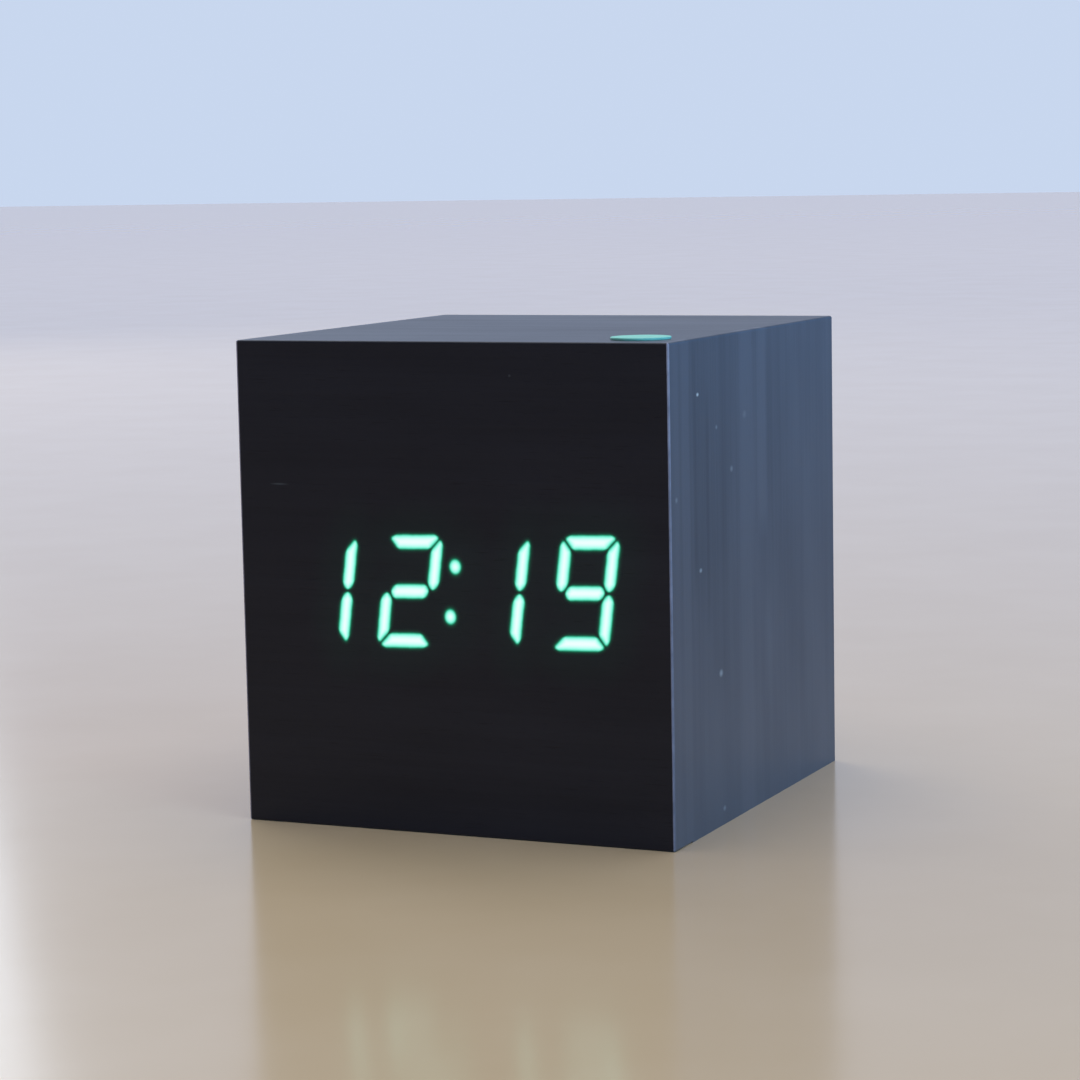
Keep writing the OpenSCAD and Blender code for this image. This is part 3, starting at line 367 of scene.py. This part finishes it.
def painted_edge_highlight(tree, colour):
    """Paints a highlight on the film where it is bent round the two upright edges of the front, most at the
    top.
    """
    x, y, z = axes(tree)
    beside = calc(tree, "GREATER_THAN", calc(tree, "ABSOLUTE", x), CASE_HIGH.x - EDGE)
    front = calc(tree, "LESS_THAN", y, CASE_LOW.y + EDGE)
    highlight_strength = remap(tree, noise(tree, (0.0, 0.0, 260.0), 3.0, 0.6), 0.30, 0.75, 0.45, 1.0)
    highlight_strength = calc(tree, "MULTIPLY", highlight_strength, remap(tree, z, 44.0 * MM, 61.0 * MM, 0.70, 1.0))
    part = calc(tree, "MULTIPLY", calc(tree, "MULTIPLY", beside, front), highlight_strength)
    # pale bluish colour of the painted highlight
    return mix(tree, part, colour, rgba((0.42, 0.42, 0.54)))


def lit_material():
    """Film over the strokes that are lit."""
    made, tree, shader = material("lit_stroke", roughness=0.38)
    join(tree, shader, emission_color=stroke_light(tree))
    shader.inputs["Emission Strength"].default_value = 1.0
    shader.inputs["Base Color"].default_value = rgba((0.006, 0.010, 0.011))
    return made


def label_material():
    made, tree, shader = material("green_label", roughness=0.5)
    cloud = noise(tree, (900.0, 900.0, 900.0), detail=4.0)
    colour = ramp(tree, cloud, [(0.3, (0.25, 0.76, 0.57)), (0.7, (0.31, 0.84, 0.65))])
    join(tree, shader, base_color=colour, normal=bump(tree, cloud, 0.006 * MM))
    return made


def fibreboard_material(name, dark, light):
    made, tree, shader = material(name, roughness=0.86, specular_ior_level=0.25)
    chips = noise(tree, (1400.0, 300.0, 1400.0), detail=6.0, roughness=0.7)
    cloud = noise(tree, (150.0, 150.0, 150.0), detail=3.0)
    tone = calc(tree, "ADD", calc(tree, "MULTIPLY", chips, 0.7), calc(tree, "MULTIPLY", cloud, 0.3))
    join(
        tree, shader,
        base_color=ramp(tree, tone, [(0.32, dark), (0.68, light)]),
        normal=bump(tree, chips, 0.05 * MM),
    )
    return made


def plastic_material(name, dark, light, roughness, grain=0.012):
    """Moulded plastic with a fine spark-eroded texture; grain is its depth in millimetres."""
    made, tree, shader = material(name, roughness)
    spark = noise(tree, (3200.0, 3200.0, 3200.0), detail=3.0, roughness=0.65)
    cloud = noise(tree, (110.0, 110.0, 110.0), detail=3.0)
    rough = remap(tree, cloud, 0.3, 0.7, roughness - 0.05, roughness + 0.07)
    join(
        tree, shader,
        base_color=ramp(tree, cloud, [(0.3, dark), (0.7, light)]),
        roughness=rough,
        normal=bump(tree, spark, grain * MM),
    )
    return made


def metal_material(name, dark, light, roughness):
    """Metal brushed along X."""
    made, tree, shader = material(name, roughness, metallic=1.0)
    brush = noise(tree, (300.0, 2500.0, 2500.0), detail=4.0, roughness=0.6)
    cloud = noise(tree, (260.0, 260.0, 260.0), detail=3.0)
    tone = calc(tree, "ADD", calc(tree, "MULTIPLY", brush, 0.4), calc(tree, "MULTIPLY", cloud, 0.6))
    join(
        tree, shader,
        base_color=ramp(tree, tone, [(0.3, dark), (0.7, light)]),
        roughness=remap(tree, brush, 0.25, 0.75, roughness - 0.06, roughness + 0.10),
        normal=bump(tree, brush, 0.004 * MM),
    )
    return made


def board_material():
    """Green solder mask with the faint lines of the copper tracks under it."""
    made, tree, shader = material("solder_mask", roughness=0.32, coat_weight=0.4)
    inputs = {"Vector": here(tree), "Scale": 160.0, "Randomness": 1.0}
    cells = add(tree, "ShaderNodeTexVoronoi", inputs, feature="DISTANCE_TO_EDGE", distance="EUCLIDEAN")
    track = remap(tree, cells.outputs[0], 0.05, 0.09, 1.0, 0.0)
    colour = mix(tree, track, rgba((0.006, 0.075, 0.03)), rgba((0.02, 0.17, 0.06)))
    join(tree, shader, base_color=colour, normal=bump(tree, track, 0.02 * MM))
    return made


BUTTON_L = 1.45 * MM    # bare metal at a cell's button end
BASE_L = 0.28 * MM      # bare metal at its flat end
BAND_L = 9.0 * MM       # button end to the end of the sleeve's pale band
LINE_AT = 9.6 * MM      # button end to the middle of the thin line beside the band
LINE_W = 0.5 * MM


def cell_material(node):
    """A dry cell: metal ends, and a plain sleeve with a pale band at its button end."""
    low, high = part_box(node)
    towards = 1.0 if node != "cell_middle" else -1.0
    button = high.x if towards > 0 else low.x
    made, tree, shader = material(node + "_skin", roughness=0.3)
    x = axes(tree)[0]
    depth = calc(tree, "MULTIPLY", calc(tree, "SUBTRACT", button, x), towards)
    metal = calc(tree, "LESS_THAN", depth, BUTTON_L)
    flat_end = calc(tree, "GREATER_THAN", depth, (high.x - low.x) - BASE_L)
    metal = calc(tree, "MAXIMUM", metal, flat_end)
    band = calc(tree, "LESS_THAN", depth, BAND_L)
    line = calc(tree, "COMPARE", depth, LINE_AT)
    line.node.inputs[2].default_value = LINE_W / 2
    cloud = noise(tree, (90.0, 90.0, 90.0), detail=2.0)
    sleeve = ramp(tree, cloud, [(0.3, (0.010, 0.070, 0.055)), (0.7, (0.016, 0.095, 0.075))])
    sleeve = mix(tree, band, sleeve, rgba((0.48, 0.50, 0.50)))
    sleeve = mix(tree, line, sleeve, rgba((0.75, 0.76, 0.74)))
    join(
        tree, shader,
        base_color=mix(tree, metal, sleeve, rgba((0.70, 0.69, 0.66))),
        metallic=metal,
        normal=bump(tree, noise(tree, (500.0, 500.0, 500.0), detail=3.0), 0.006 * MM),
    )
    return made


CONDUCTORS = 8.0


def ribbon_material():
    """Flat cable: one ridge for each of its conductors, one edge marked."""
    made, tree, shader = material("ribbon", roughness=0.45)
    low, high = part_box("ribbon_cable")
    x = axes(tree)[0]
    share = remap(tree, x, low.x, high.x)
    ridge = calc(tree, "ABSOLUTE", calc(tree, "SINE", calc(tree, "MULTIPLY", share, CONDUCTORS * math.pi)))
    marked = calc(tree, "LESS_THAN", share, 1.0 / CONDUCTORS)
    colour = mix(tree, marked, rgba((0.32, 0.33, 0.35)), rgba((0.5, 0.05, 0.04)))
    join(tree, shader, base_color=colour, normal=bump(tree, ridge, 0.25 * MM))
    return made


FILM_FRONT_SHADED = film_material("film_front_shaded", True)
FILM_WRAP_LIT = film_material("film_wrap_lit", False)
MARK = plastic_material("mark_paint", (0.50, 0.50, 0.49), (0.60, 0.60, 0.58), 0.6)
CHASSIS = plastic_material("chassis_abs", (0.024, 0.024, 0.026), (0.034, 0.034, 0.036), 0.46, 0.02)
STEEL = metal_material("zinc_steel", (0.42, 0.42, 0.41), (0.66, 0.66, 0.64), 0.32)
TINNED = metal_material("tinned", (0.55, 0.55, 0.54), (0.75, 0.75, 0.73), 0.28)
NICKEL = metal_material("nickel", (0.55, 0.53, 0.49), (0.78, 0.76, 0.71), 0.22)
CHIP = plastic_material("chip_black", (0.012, 0.012, 0.013), (0.022, 0.022, 0.023), 0.62)
WHITE = plastic_material("white_abs", (0.70, 0.70, 0.67), (0.78, 0.78, 0.75), 0.45)
BOARD = board_material()

FINISHES = {
    "bottom_film": FILM_WRAP_LIT,
    "wrap_film": FILM_WRAP_LIT,
    "dark_windows": FILM_FRONT_SHADED,
    "lit_windows": lit_material(),
    "top_label": label_material(),
    "front_board": fibreboard_material("fibreboard", (0.07, 0.05, 0.035), (0.16, 0.115, 0.08)),
    "corner_blocks": fibreboard_material("softwood", (0.42, 0.29, 0.16), (0.58, 0.43, 0.26)),
    "diffuser_sheet": plastic_material("diffuser", (0.72, 0.76, 0.72), (0.80, 0.84, 0.80), 0.6),
    "segment_reflector": WHITE,
    "display_header": WHITE,
    "control_header": WHITE,
    "display_leds": plastic_material("led_resin", (0.50, 0.68, 0.40), (0.60, 0.78, 0.48), 0.3),
    "display_pcb": BOARD,
    "control_pcb": BOARD,
    "chip_leads": TINNED,
    "crystal": TINNED,
    "microphone": TINNED,
    "display_screws": STEEL,
    "control_screws": STEEL,
    "chassis_screws": metal_material("black_oxide", (0.03, 0.03, 0.032), (0.07, 0.07, 0.072), 0.38),
    "capacitors": plastic_material("capacitor_blue", (0.015, 0.025, 0.11), (0.02, 0.035, 0.15), 0.28),
    "smd_parts": CHIP,
    "clock_chip": CHIP,
    "driver_chip": CHIP,
    "switch_bodies": CHIP,
    "buzzer": CHIP,
    "thermistor": CHIP,
    "ribbon_cable": ribbon_material(),
    "dc_socket": plastic_material(
        "socket_black", (0.012, 0.012, 0.013), (0.018, 0.018, 0.019), 0.34, 0.006
    ),
    "dc_pin": metal_material("brass_pin", (0.62, 0.45, 0.17), (0.83, 0.66, 0.32), 0.24),
    "rear_chassis": CHASSIS,
    "battery_tray": CHASSIS,
    "battery_door": CHASSIS,
    "contact_springs": NICKEL,
    "positive_lead": plastic_material("red_pvc", (0.36, 0.012, 0.01), (0.46, 0.02, 0.014), 0.4),
    "negative_lead": plastic_material("black_pvc", (0.014, 0.014, 0.014), (0.022, 0.022, 0.022), 0.4),
}
KEY = plastic_material("key_abs", (0.030, 0.030, 0.032), (0.040, 0.040, 0.042), 0.38, 0.006)
PLUNGER = plastic_material("nylon", (0.045, 0.045, 0.05), (0.06, 0.06, 0.065), 0.42)
RIM = fibreboard_material("stained_rim", (0.020, 0.016, 0.013), (0.060, 0.046, 0.036))
for side in ("top", "bottom", "left", "right"):
    FINISHES[side + "_board"] = RIM
for key in ("set", "up", "down"):
    FINISHES[key + "_button"] = KEY
    FINISHES[key + "_plunger"] = PLUNGER
for place in ("top", "middle", "bottom"):
    FINISHES["cell_" + place] = cell_material("cell_" + place)
for contact in ("positive_terminal", "negative_terminal", "left_link", "right_link"):
    FINISHES[contact] = NICKEL


def dress(node, finish, extra=(), pick=None):
    """Gives a CAD node its material; pick(polygon) says which of the extra ones a face takes."""
    mesh = NODES[node].data
    mesh.materials.clear()
    for one in (finish, *extra):
        mesh.materials.append(one)
    for polygon in mesh.polygons:
        polygon.material_index = pick(polygon) if pick else 0


for node, finish in FINISHES.items():
    dress(node, finish)

# The film on the front board's edges has the same upright grain as the wrap
dress("front_film", FILM_FRONT_SHADED, (FILM_WRAP_LIT,), lambda p: 0 if abs(p.normal.y) > 0.5 else 1)


def sunk_face(high_y, depth):
    """Picks the faces that look backwards from a mark cut depth below the surface at high_y."""
    return lambda p: 1 if p.normal.y > 0.9 and abs(p.center.y - high_y + depth) < 0.02 * MM else 0


KEY_MARK_DEPTH = 0.2 * MM
DOOR_MARK_DEPTH = 0.25 * MM
for key in ("set", "up", "down"):
    key_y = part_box(key + "_button")[1].y
    dress(key + "_button", KEY, (MARK,), sunk_face(key_y, KEY_MARK_DEPTH))
PLATE_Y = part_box("rear_chassis")[1].y
dress("battery_door", CHASSIS, (MARK,), sunk_face(PLATE_Y, DOOR_MARK_DEPTH))


# Softened edges -----------------------------------------------------------------------------


def modifier(obj, kind, **settings):
    """Adds a modifier with the given settings, named after its kind."""
    made = obj.modifiers.new(kind.lower(), kind)
    for name, value in settings.items():
        setattr(made, name, value)


def plain_shading(obj, smooth):
    """Drops the stored normals and shades every face smooth or flat."""
    mesh = obj.data
    if "custom_normal" in mesh.attributes:
        mesh.attributes.remove(mesh.attributes["custom_normal"])
    mesh.polygons.foreach_set("use_smooth", [smooth] * len(mesh.polygons))


def soften_edges(node, width, segments, edges):
    """Rounds the edges that edges(a, b) picks by their two ends, and leaves the faces flat."""
    obj = NODES[node]
    plain_shading(obj, False)
    weights = obj.data.attributes.new("bevel_weight_edge", "FLOAT", "EDGE")
    for edge in obj.data.edges:
        a, b = (obj.data.vertices[i].co for i in edge.vertices)
        weights.data[edge.index].value = 1.0 if edges(a, b) else 0.0
    modifier(obj, "WELD", merge_threshold=SAME)
    modifier(obj, "BEVEL", width=width, segments=segments, limit_method="WEIGHT", miter_outer="MITER_ARC")


def soften(node, width, merge_flat=True, split=False):
    """Rounds every sharp edge. merge_flat joins each flat face's triangles first, and split
    cuts it up again, for a face whose holes leave no simple outline."""
    obj = NODES[node]
    plain_shading(obj, True)
    modifier(obj, "WELD", merge_threshold=SAME)
    if merge_flat:
        flat = math.radians(0.5)
        modifier(obj, "DECIMATE", decimate_type="DISSOLVE", angle_limit=flat, delimit={"MATERIAL"})
    if split:
        modifier(obj, "TRIANGULATE", min_vertices=5)
    modifier(
        obj, "BEVEL", width=width, segments=2, limit_method="ANGLE", angle_limit=math.radians(30.0),
        miter_outer="MITER_ARC", use_clamp_overlap=merge_flat,
    )
    modifier(obj, "WEIGHTED_NORMAL", weight=100)


def case_edge(a, b):
    """True for an edge of the case, apart from the film's cut rim at the back. Both ends of
    such an edge lie on the same two of the case's outer planes."""
    if min(a.y, b.y) > CASE_HIGH.y - SAME:
        return False
    shared = 0
    for corner in (CASE_LOW, CASE_HIGH):
        shared += sum(max(abs(a[i] - corner[i]), abs(b[i] - corner[i])) < SAME for i in range(3))
    return shared >= 2


for node in ("front_film", "wrap_film"):
    soften_edges(node, EDGE, 4, case_edge)

# Radius to which each node's sharp edges are rounded, millimetres
ROUNDED = {
    "rear_chassis": 0.12, "battery_tray": 0.12, "battery_door": 0.10, "set_button": 0.06, "up_button": 0.06,
    "down_button": 0.06, "dc_socket": 0.1, "dc_pin": 0.15, "chassis_screws": 0.06, "top_label": 0.03,
    "cell_top": 0.25, "cell_middle": 0.25, "cell_bottom": 0.25, "positive_terminal": 0.06,
    "negative_terminal": 0.06, "left_link": 0.06, "right_link": 0.06, "clock_chip": 0.08,
    "driver_chip": 0.08, "capacitors": 0.12, "crystal": 0.12, "buzzer": 0.2, "switch_bodies": 0.12,
    "display_pcb": 0.06, "control_pcb": 0.06, "display_header": 0.15, "control_header": 0.15,
    "corner_blocks": 0.2, "microphone": 0.1, "smd_parts": 0.05, "display_screws": 0.05,
    "control_screws": 0.05,
}
# Nodes whose flat faces have holes
HOLED = ("battery_tray", "corner_blocks", "switch_bodies")
for node, width in ROUNDED.items():
    soften(node, width * MM, merge_flat=node != "battery_door", split=node in HOLED)
for node in ("contact_springs", "positive_lead", "negative_lead"):
    NODES[node].data.polygons.foreach_set("use_smooth", [True] * len(NODES[node].data.polygons))


# Studio ---------------------------------------------------------------------------------------


def floor():
    """A wide, level, slightly glossy sheet under the clock."""
    reach = 6.0
    mesh = bpy.data.meshes.new("floor")
    corners = [(-reach, -reach), (reach, -reach), (reach, reach), (-reach, reach)]
    mesh.from_pydata([(x, y, CAD_BOX[0][2]) for x, y in corners], [], [(0, 1, 2, 3)])
    obj = bpy.data.objects.new("floor", mesh)
    bpy.context.scene.collection.objects.link(obj)
    made, tree, shader = material("pale_floor", roughness=0.17, specular_ior_level=0.42)
    cloud = noise(tree, (30.0, 30.0, 30.0), detail=3.0)
    colour = ramp(tree, cloud, [(0.3, (0.68, 0.51, 0.31)), (0.7, (0.71, 0.54, 0.34))])
    join(tree, shader, base_color=colour)
    mesh.materials.append(made)


def softbox(name, at, size, power, colour):
    """A square light at a place, facing the clock's middle."""
    data = bpy.data.lights.new(name, "AREA")
    data.shape = "SQUARE"
    data.size = size
    data.energy = power
    data.color = colour
    light = bpy.data.objects.new(name, data)
    target = Vector((0.0, 0.0, 0.5 * CAD_BOX[1][2]))
    light.matrix_world = (
        Matrix.Translation(at) @ (Vector(at) - target).to_track_quat("Z", "Y").to_matrix().to_4x4()
    )
    light.visible_camera = False
    bpy.context.scene.collection.objects.link(light)


def skylight(strength, spread, colour):
    """Soft light from straight above, the same all over the floor."""
    data = bpy.data.lights.new("skylight", "SUN")
    data.energy = strength
    data.angle = math.radians(spread)
    data.color = colour
    bpy.context.scene.collection.objects.link(bpy.data.objects.new("skylight", data))


# Colours of the surround as it lights the clock, from the front of the studio to its back
SURROUND = [(0.0, (0.11, 0.13, 0.22)), (0.55, (0.22, 0.27, 0.38)), (1.0, (0.47, 0.56, 0.78))]
HORIZON = (0.66, 0.77, 1.05)        # low down at the back
RIGHT_LOW = (0.29, 0.66, 1.06)      # tint on the right, low down
RIGHT_HIGH = (0.50, 0.59, 0.70)     # tint on the right, high up
BACKDROP = (0.58, 0.68, 0.86)       # the surround as the camera sees it


def world():
    """A pale surround, brighter towards the back of the studio than behind the camera."""
    made = bpy.data.worlds.new("studio")
    bpy.context.scene.world = made
    made.use_nodes = True
    tree = made.node_tree
    facing = add(tree, "ShaderNodeSeparateXYZ", {0: add(tree, "ShaderNodeTexCoord").outputs["Generated"]})
    back = remap(tree, facing.outputs[1], -0.6, 0.8)
    rise = calc(tree, "ABSOLUTE", facing.outputs[2])
    level = remap(tree, rise, 0.03, 0.22, 1.0, 0.0)
    level_back = calc(tree, "MULTIPLY", level, remap(tree, back, 0.8, 1.0))
    lit = mix(tree, level_back, ramp(tree, back, SURROUND), rgba(HORIZON))
    right = remap(tree, facing.outputs[0], -0.1, 0.4)
    tint = mix(tree, remap(tree, rise, 0.20, 0.45), rgba(RIGHT_LOW), rgba(RIGHT_HIGH))
    tint = mix(tree, right, rgba((1.0, 1.0, 1.0)), tint)
    lit = vector_calc(tree, "MULTIPLY", lit, tint).outputs[0]
    camera_ray = add(tree, "ShaderNodeLightPath").outputs["Is Camera Ray"]
    tree.links.new(mix(tree, camera_ray, lit, rgba(BACKDROP)), tree.nodes["Background"].inputs["Color"])


def camera():
    data = bpy.data.cameras.new("camera")
    data.sensor_width = 36.0
    data.lens = 102.81
    data.clip_start = 0.01
    obj = bpy.data.objects.new("camera", data)
    turn, tilt, roll = 24.02, -7.0, -1.1
    obj.matrix_world = (
        Matrix.Translation((0.16751, -0.37885, 0.08515))
        @ Matrix.Rotation(math.radians(turn), 4, "Z")
        @ Matrix.Rotation(math.radians(90.0 + tilt), 4, "X")
        @ Matrix.Rotation(math.radians(roll), 4, "Z")
    )
    bpy.context.scene.collection.objects.link(obj)
    bpy.context.scene.camera = obj


floor()
world()
skylight(1.6, 70.0, (1.0, 0.95, 0.88))
softbox("right_window", (0.85, -0.32, 0.12), 0.5, 6.2, (0.27, 0.60, 1.0))
softbox("rear_right", (0.42, 0.95, 0.10), 0.7, 1.0, (0.20, 0.46, 1.0))
softbox("rear_left", (-0.80, 0.60, 0.50), 0.6, 2.5, (0.80, 0.88, 1.0))
camera()
bpy.context.scene.view_settings.view_transform = "Standard"
